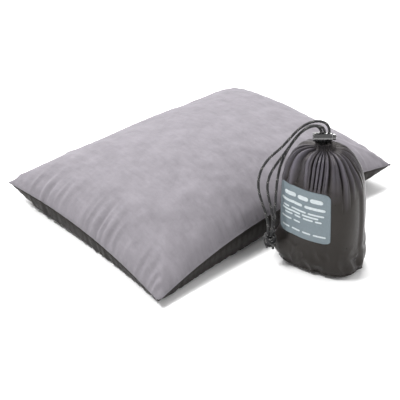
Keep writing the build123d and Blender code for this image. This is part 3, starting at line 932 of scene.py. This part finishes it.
class Sack:
    """The sack's cloth as a grid of points, one ring for each row, worked out over its CAD solids."""

    def __init__(self):
        self.trees = []
        for node in ("sack_body_panel", "sack_side_seam", "sack_base_seam"):
            mesh = frame["nodes"][node].data
            corners = [tuple(vertex.co) for vertex in mesh.vertices]
            self.trees.append(BVHTree.FromPolygons(corners, [tuple(face.vertices) for face in mesh.polygons]))
        self.angles = np.linspace(0, 2 * math.pi, SACK_COLUMNS, endpoint=False)
        self.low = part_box("sack_body_panel")[0].z
        self.label_turns, self.label_heights = self.label_window()
        self.rows = self.row_list()
        smooth_reach = np.array([self.ring(height, rise) for height, rise, _ in self.rows])
        for _ in range(8):
            smooth_reach[1:-1] = (smooth_reach[:-2] + 2 * smooth_reach[1:-1] + smooth_reach[2:]) / 4
        shares = np.array([share for _, _, share in self.rows])
        for turn, low, high, lift in BULGES:
            near = np.exp(-((np.mod(self.angles - turn + math.pi, 2 * math.pi) - math.pi) / 0.35) ** 2)
            heights = np.array([height if rise == 0 else 1.0 for height, rise, _ in self.rows])
            band = smooth(low - 12 * MM, low, heights) * (1 - smooth(high, high + 16 * MM, heights))
            smooth_reach += lift * band[:, None] * near[None, :]
        lift = SHOULDER_LIFT * smooth(1.35, 1.75, shares) * (1 - 0.7 * smooth(1.82, 2.0, shares))
        smooth_reach += lift[:, None]
        worked = [self.depth(*row) for row in self.rows]
        self.reach = smooth_reach - np.array([inward for inward, _ in worked])
        # How much painted highlight each point of the cloth takes
        self.ridge_highlight = np.array([ridge_highlight for _, ridge_highlight in worked])

    def axis(self, height):
        """The middle of the sack at a height."""
        share = min(1.0, height / NECK_LOW)
        share = 0.5 * share + 0.5 * float(smooth(0.0, 1.0, share))
        place = SACK_BASE.lerp(NECK, share)
        return Vector((place.x, place.y, height))

    def label_window(self):
        """The label's lowest and highest turn and height, read from its CAD solid."""
        places = np.array([vertex.co for vertex in frame["nodes"]["sack_label"].data.vertices])
        centre = self.axis(float(places[:, 2].mean()))
        turns = np.mod(np.arctan2(places[:, 1] - centre.y, places[:, 0] - centre.x), 2 * math.pi)
        return (turns.min(), turns.max()), (places[:, 2].min(), places[:, 2].max())

    def row_list(self):
        """The pivot height, rise angle and share of the way up of each ring, from the base to the neck."""
        hem_low, hem_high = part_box("hem_casing")
        top_rise = math.atan2(NECK_LOW - DOME_BASE, (hem_high.x - hem_low.x) / 2)
        rows = [(height, 0.0, height / DOME_BASE) for height in np.linspace(self.low, DOME_BASE, BODY_ROWS)]
        rises = np.linspace(0, top_rise, DOME_ROWS)[1:]
        return rows + [(DOME_BASE, rise, 1 + rise / top_rise) for rise in rises]

    def direction(self, angle, rise):
        """The outward direction of a ring's point."""
        level = math.cos(rise)
        return Vector((math.cos(angle) * level, math.sin(angle) * level, math.sin(rise)))

    def ring(self, height, rise):
        """Distance of the smooth outer surface at each angle round a ring."""
        pivot = self.axis(height)
        reach = np.zeros(len(self.angles))
        for index, angle in enumerate(self.angles):
            way = self.direction(angle, rise)
            start = pivot + way * 0.2
            for tree in self.trees:
                place = tree.ray_cast(start, -way, 0.2)[0]
                if place is not None:
                    reach[index] = max(reach[index], (place - pivot).dot(way))
        missed = reach < 0.005
        reach[missed] = np.interp(np.where(missed)[0], np.where(~missed)[0], reach[~missed])
        for _ in range(4):
            reach = (np.roll(reach, 1) + 2 * reach + np.roll(reach, -1)) / 4
        return reach

    def warped(self, share):
        """The angles with the gathers' uneven spacing and slight sideways drift."""
        turns = self.angles
        warp = 0.16 * np.sin(turns + 1.1) + 0.12 * np.sin(2 * turns + 4.0) + 0.09 * np.sin(5 * turns + 0.4)
        drift = 0.09 * np.sin(3 * turns + 2.2) + 0.05 * np.sin(7 * turns)
        return turns + warp + drift * (2.0 - share)

    def folds(self, share):
        """Sharp valleys of the main gathers and of the finer ones between them, 0 to 1."""
        warped = self.warped(share)
        main = 1 - np.abs(np.sin(PLEATS * warped / 2)) ** 0.85
        fine = 1 - np.abs(np.sin(PLEATS * warped + 1.9 + 1.5 * np.sin(2 * self.angles))) ** 0.8
        return main, fine

    def depth(self, height, rise, share):
        """How far inside the smooth surface the cloth lies at a ring, and how strongly the painted highlight
        lies there, on the tops of the left gathers.
        """
        turns = self.angles
        main, fine = self.folds(share)
        fold_number = np.floor(PLEATS * self.warped(share) / (2 * math.pi))
        uneven = 0.5 + 0.5 * np.sin(fold_number * 2.4 + 0.6) * np.sin(fold_number * 0.9 + 2.0)
        left = (0.5 + 0.5 * np.cos(turns - FRONT_LEFT)) ** 1.3
        start = 1.08 - 0.5 * left * (0.35 + 0.65 * uneven)
        strength = np.clip((share - start) / (1.4 - start), 0, 1) ** 0.8
        fade = 1 - 0.45 * smooth(1.65, 2.0, share)
        deep = (0.9 + 4.4 * left) * (0.45 + 0.8 * uneven)
        gathers = (deep * main + (0.5 + 1.5 * left) * fine) * strength * fade
        heavy = 1.8 * left * np.maximum(0, np.sin(6 * turns + 1.0 + 1.2 * share))
        heavy = heavy * smooth(0.8, 1.3, share) * fade
        low_down = 1 - smooth(14 * MM, 44 * MM, height) if rise == 0 else 0.0
        corner = (0.5 + 0.5 * np.cos(turns - math.radians(270))) ** 4
        waves = ring_noise(turns, 1.7, 0.0, height * 20 + rise * 1.4)
        creases = np.abs(ring_noise(turns, 3.4, height * 30, height * 70 + 9))
        wander = 0.9 * waves + low_down * (1.0 + 1.6 * corner) * (0.5 - 2.2 * creases)
        wander = np.minimum(wander, 0.7)
        inward = gathers + heavy - wander * (1 - smooth(1.2, 1.6, share))
        # Painted highlight: paler on the tops of the gathers, most on the left side
        ridge_highlight = left ** 0.7 * strength * fade * (1 - main) ** 1.5 * (1 - 0.5 * fine) * (0.4 + 0.6 * uneven)
        return inward * MM * (1 - 0.9 * self.label_shield(height, rise)), ridge_highlight

    def label_shield(self, height, rise):
        """1 under the label, where the cloth is held flat, falling to 0 round it."""
        low_turn, high_turn = self.label_turns
        low, high = self.label_heights
        side = smooth(low_turn - 0.3, low_turn - 0.02, self.angles)
        side = side * (1 - smooth(high_turn + 0.02, high_turn + 0.3, self.angles))
        up = smooth(low - 14 * MM, low - 1 * MM, height)
        return side * up * (1 - smooth(high, high + 6 * MM, height + rise * 45 * MM))

    def place(self, row, radius):
        """The points of a ring that has these distances from its pivot."""
        height, rise, _ = self.rows[row]
        pivot = self.axis(height)
        level = math.cos(rise)
        return np.stack([
            pivot.x + np.cos(self.angles) * radius * level,
            pivot.y + np.sin(self.angles) * radius * level,
            np.full(len(self.angles), pivot.z) + radius * math.sin(rise),
        ], axis=1)

    def on_cloth(self, turn, height, lift):
        """The point on the sack's upright wall at a turn and a height, lifted off its surface."""
        heights = np.array([row[0] for row in self.rows[:BODY_ROWS]])
        position = np.interp(height, heights, np.arange(BODY_ROWS))
        row = min(int(position), BODY_ROWS - 2)
        column = (turn / (2 * math.pi) * SACK_COLUMNS) % SACK_COLUMNS
        first, share = int(column), column - int(column)
        second = (first + 1) % SACK_COLUMNS
        low = self.reach[row, first] * (1 - share) + self.reach[row, second] * share
        high = self.reach[row + 1, first] * (1 - share) + self.reach[row + 1, second] * share
        radius = low + (high - low) * (position - row) + lift
        pivot = self.axis(height)
        return Vector((pivot.x + math.cos(turn) * radius, pivot.y + math.sin(turn) * radius, height))


def neck_ring(sack, radius, height):
    """The points of a ring round the neck; radius and height are one number or one for each angle."""
    around = np.stack([np.cos(sack.angles) * radius, np.sin(sack.angles) * radius], axis=1)
    return np.column_stack([around + np.array(NECK[:2]), np.broadcast_to(height, len(sack.angles))])


def make_body(sack):
    """The sack's body cloth, drawn in to its gathered hem, which turns over into the mouth."""
    rings = [sack.place(row, reach) for row, reach in enumerate(sack.reach)]
    neck = np.linalg.norm(rings[-1][:, :2] - np.array(NECK[:2]), axis=1)
    main, fine = sack.folds(2.0)
    rim = RUFFLE_RADIUS * (1.06 - 0.3 * main - 0.08 * fine)
    crown = 0.5 * MM * np.sin(3 * sack.angles + 1) + 0.3 * MM * np.sin(7 * sack.angles)
    for share in np.linspace(0, 1, HEM_ROWS + 1)[1:]:
        waist = 1 - 0.1 * math.sin(share * math.pi)
        radius = (neck * (1 - share) + rim * share) * waist
        rings.append(neck_ring(sack, radius, NECK_LOW + (RUFFLE_TOP - NECK_LOW) * share + crown * share))
    for share in np.linspace(0, 1, MOUTH_ROWS + 1)[1:]:
        height = RUFFLE_TOP + crown - MOUTH_DEPTH * share * share
        rings.append(neck_ring(sack, rim * (1 - 0.4 * share ** 0.7), height))
    runs = [0.0]
    for before, after in zip(rings, rings[1:]):
        runs.append(runs[-1] + float(np.linalg.norm(after - before, axis=1).mean()))
    around = sack.angles * SACK_FLAT[0] / (2 * math.pi)
    places = [np.stack([around, np.full(SACK_COLUMNS, run), np.zeros(SACK_COLUMNS)], axis=1) for run in runs]
    # The painted highlight carries on up the hem at half strength; the mouth has none
    hem_ridge_highlight = np.repeat(0.5 * sack.ridge_highlight[-1:], HEM_ROWS, axis=0)
    ridge_highlight = np.concatenate([sack.ridge_highlight, hem_ridge_highlight, np.zeros((MOUTH_ROWS, SACK_COLUMNS))])
    body = make_piece("sack_body_cloth", np.concatenate(rings), grid_faces(len(rings), SACK_COLUMNS),
                      SACK_NYLON, np.concatenate(places), ridge_highlight.ravel())
    thicken(body, CLOTH_THICK)
    dress(body, "sack", "sack_nylon", "sack_body_panel", "hem_casing")
    return body


def make_base(sack):
    """The base cloth, which bulges a little past its flat middle, and the welt of its seam."""
    edge = sack.place(0, sack.reach[0] - 0.2 * MM)
    pivot = np.array([*sack.axis(0.0)[:2], BASE_LOW])
    puckers = np.abs(0.35 * MM * np.sin(31 * sack.angles + 3 * np.sin(2 * sack.angles)))
    rings = []
    for share in np.linspace(0, 1, BASE_ROWS + 1)[:-1]:
        ring = pivot + (edge - pivot) * math.cos(share * math.pi / 2) ** 0.55
        fall = min(1.0, share / 0.5)
        ring[:, 2] = edge[:, 2] * (1 - fall) ** 1.6 + BASE_LOW + puckers * (1 - share)
        rings.append(ring)
    faces = [face[::-1] for face in grid_faces(BASE_ROWS, SACK_COLUMNS)]
    last, tip = (BASE_ROWS - 1) * SACK_COLUMNS, BASE_ROWS * SACK_COLUMNS
    faces += [(last + (column + 1) % SACK_COLUMNS, last + column, tip) for column in range(SACK_COLUMNS)]
    points = np.concatenate(rings + [pivot[None, :]])
    base = make_piece("sack_base_cloth", points, faces, SACK_NYLON, points.copy())
    thicken(base, CLOTH_THICK)
    dress(base, "sack", "sack_nylon", "sack_base_panel")
    radii = WELT_RADIUS * (1 + 0.28 * np.sin(sack.angles * WELT_GATHERS))
    welt = closed_ring("base_welt", edge - np.array([0, 0, 0.3 * MM]), radii, 10, SEAM_NYLON)
    dress(welt, "sack", "sack_nylon", "sack_base_seam")


def patch(sack, turns, heights, corner, lift, thick, grid):
    """Points, faces and cloth coordinates of a closed patch on the sack's wall, with rounded corners."""
    columns, rows = grid
    low, high = heights
    middle_height, half_height = (low + high) / 2, (high - low) / 2
    centre_turn, half_turn = (turns[0] + turns[1]) / 2, (turns[1] - turns[0]) / 2
    wall = (sack.on_cloth(centre_turn, middle_height, 0) - sack.axis(middle_height)).length
    points, places = [], []
    for depth in (lift + thick, lift):
        for up in np.linspace(-1, 1, rows):
            over = max(0.0, abs(up) * half_height - (half_height - corner))
            cut = corner - math.sqrt(max(0.0, corner * corner - over * over))
            half = half_turn - cut / wall
            for side in np.linspace(-1, 1, columns):
                turn, height = centre_turn + side * half, middle_height + up * half_height
                points.append(tuple(sack.on_cloth(turn, height, depth)))
                places.append((turn * wall, height, 0.0))
    return points, layer_faces(rows, columns), places


LABEL_LINES = [  # shares of the height from the top and of half height, and of the width for its bars' ends
    (0.17, 0.040, ((0.12, 0.36), (0.40, 0.62), (0.66, 0.88))),
    (0.32, 0.026, ((0.08, 0.47), (0.52, 0.94))),
    (0.44, 0.0165, ((0.10, 0.40), (0.44, 0.74), (0.78, 0.90))),
    (0.505, 0.0165, ((0.20, 0.52), (0.56, 0.92))),
    (0.57, 0.0165, ((0.14, 0.26), (0.30, 0.50), (0.55, 0.68), (0.72, 0.86))),
    (0.68, 0.0165, ((0.56, 0.70), (0.74, 0.93))),
    (0.865, 0.0165, ((0.07, 0.30), (0.35, 0.52), (0.57, 0.74), (0.78, 0.92))),
]


def make_label(sack):
    """The printed panel and the plain pale bars on it."""
    turns, heights = sack.label_turns, sack.label_heights
    points, faces, places = patch(sack, turns, heights, 5 * MM, 0.15 * MM, 0.3 * MM, (60, 60))
    panel = make_piece("print_panel", points, faces, LABEL_FILM, places)
    dress(panel, "sack", "print", "sack_label")
    width, height = turns[1] - turns[0], heights[1] - heights[0]
    bars, bar_faces, bar_places = [], [], []
    for top, half, ends in LABEL_LINES:
        bar_heights = (heights[1] - (top + half) * height, heights[1] - (top - half) * height)
        for left, right in ends:
            bar_turns = (turns[0] + (1 - right) * width, turns[0] + (1 - left) * width)
            corner = half * height * 0.9
            points, faces, places = patch(sack, bar_turns, bar_heights, corner, 0.47 * MM, 0.08 * MM, (24, 7))
            bar_faces += [tuple(index + len(bars) for index in face) for face in faces]
            bars += points
            bar_places += places
    ink = make_piece("print_bars", bars, bar_faces, LABEL_INK, bar_places)
    dress(ink, "sack", "print")


SEAM_SPAN = (6 * MM, 92 * MM)
SEAM_HALF = 2.0 * MM
SEAM_STITCHES = 34


def make_side_seam(sack):
    """The felled side seam with its two rows of stitches, as dents along the strip."""
    turn = math.atan2(LOCK_ALONG.y, LOCK_ALONG.x) % (2 * math.pi)
    columns, rows = 15, 240
    low, high = SEAM_SPAN
    points, places = [], []
    for lift, dent in ((0.55 * MM, 0.3 * MM), (0.05 * MM, 0.0)):
        for up in np.linspace(0, 1, rows):
            height = low + (high - low) * up
            wall = (sack.on_cloth(turn, height, 0) - sack.axis(height)).length
            middle_turn = turn + 0.5 * MM * math.sin(up * 5.0) / wall
            along = 0.5 + 0.5 * math.sin(up * 2 * math.pi * SEAM_STITCHES)
            for side in np.linspace(-1, 1, columns):
                stitch = along * math.exp(-((abs(side) - 0.55) / 0.12) ** 2)
                rise = lift * (1 - abs(side) ** 6) - dent * stitch
                points.append(tuple(sack.on_cloth(middle_turn + side * SEAM_HALF / wall, height, rise)))
                places.append((side * SEAM_HALF, height, 0.0))
    seam = make_piece("side_seam_tape", points, layer_faces(rows, columns), SEAM_NYLON, places)
    dress(seam, "sack", "sack_nylon", "sack_side_seam")


PACKED_GAP = 2.4 * MM
PACKED_CRUMPLE = 2.2 * MM


def make_packed(sack):
    """The crumpled pillow inside the sack, a little inside the cloth all round."""
    step = 4
    angles = sack.angles[::step]
    rings = []
    for row in range(0, len(sack.rows), 2):
        inner = np.minimum.reduce([np.roll(sack.reach[row], shift) for shift in range(-6, 7)])
        height, rise, _ = sack.rows[row]
        crumple = np.abs(ring_noise(angles, 2.4, 0.0, height * 40 + rise * 3))
        full = np.zeros(SACK_COLUMNS)
        full[::step] = inner[::step] - PACKED_GAP - PACKED_CRUMPLE * crumple
        rings.append(sack.place(row, full)[::step])
    low, high = rings[0].mean(0), rings[-1].mean(0)
    low[2] = 1.6 * MM
    high[2] -= 1.5 * MM
    under = rings[0] + (low - rings[0]) * 0.12
    under[:, 2] = 2.0 * MM
    points = np.concatenate([under] + rings + [low[None, :], high[None, :]])
    faces = closed_faces(len(rings) + 1, len(angles))
    packed = make_piece("packed_cloth", points, faces, PACKED_CLOTH, points.copy())
    dress(packed, "sack", "top_microfibre", "packed_pillow")


DRAWCORD_RING = 6.2 * MM
DRAWCORD_HEIGHT = 138.9  # this and the two below are in millimetres in the lock's frame
RISER_PLACES = [4.9, 0.3, -2.8]
RISER_TOP = 151.0


def make_drawcord():
    """The drawcord in the hem: a ring of cord and the three strands that rise from it into the lock."""
    turns = np.linspace(0, 2 * math.pi, 90, endpoint=False)
    ring = np.stack([NECK.x + DRAWCORD_RING * np.cos(turns), NECK.y + DRAWCORD_RING * np.sin(turns),
                     np.full_like(turns, DRAWCORD_HEIGHT * MM)], axis=1)
    loop = closed_ring("drawcord_ring", ring, CORD_DIAMETER / 2, 16, SHORT_CORD)
    dress(loop, "sack", "cord_braid", "drawcord_loop")
    for index, along in enumerate(RISER_PLACES):
        ends = [lock_place(along, 0.0, height) for height in (DRAWCORD_HEIGHT - 1.0, RISER_TOP)]
        points = even_points(np.array(ends), CORD_STEP)
        riser = braided_tube(f"drawcord_riser_{index + 1}", points, CORD_DIAMETER * 0.49, CORD)
        dress(riser, "sack", "cord_braid")


sack = Sack()
sack_body = make_body(sack)
make_base(sack)
make_label(sack)
make_side_seam(sack)
make_packed(sack)
make_drawcord()


# ---- CAD pieces that keep their shape ----
def keep_node(node, material):
    """Give a CAD node that keeps its shape its material."""
    piece = frame["nodes"][node]
    for index in range(len(piece.material_slots)):
        piece.material_slots[index].material = material


keep_node("lock_barrel", LOCK_PLASTIC)
keep_node("lock_plunger", LOCK_PLASTIC)
keep_node("lock_spring", STEEL)
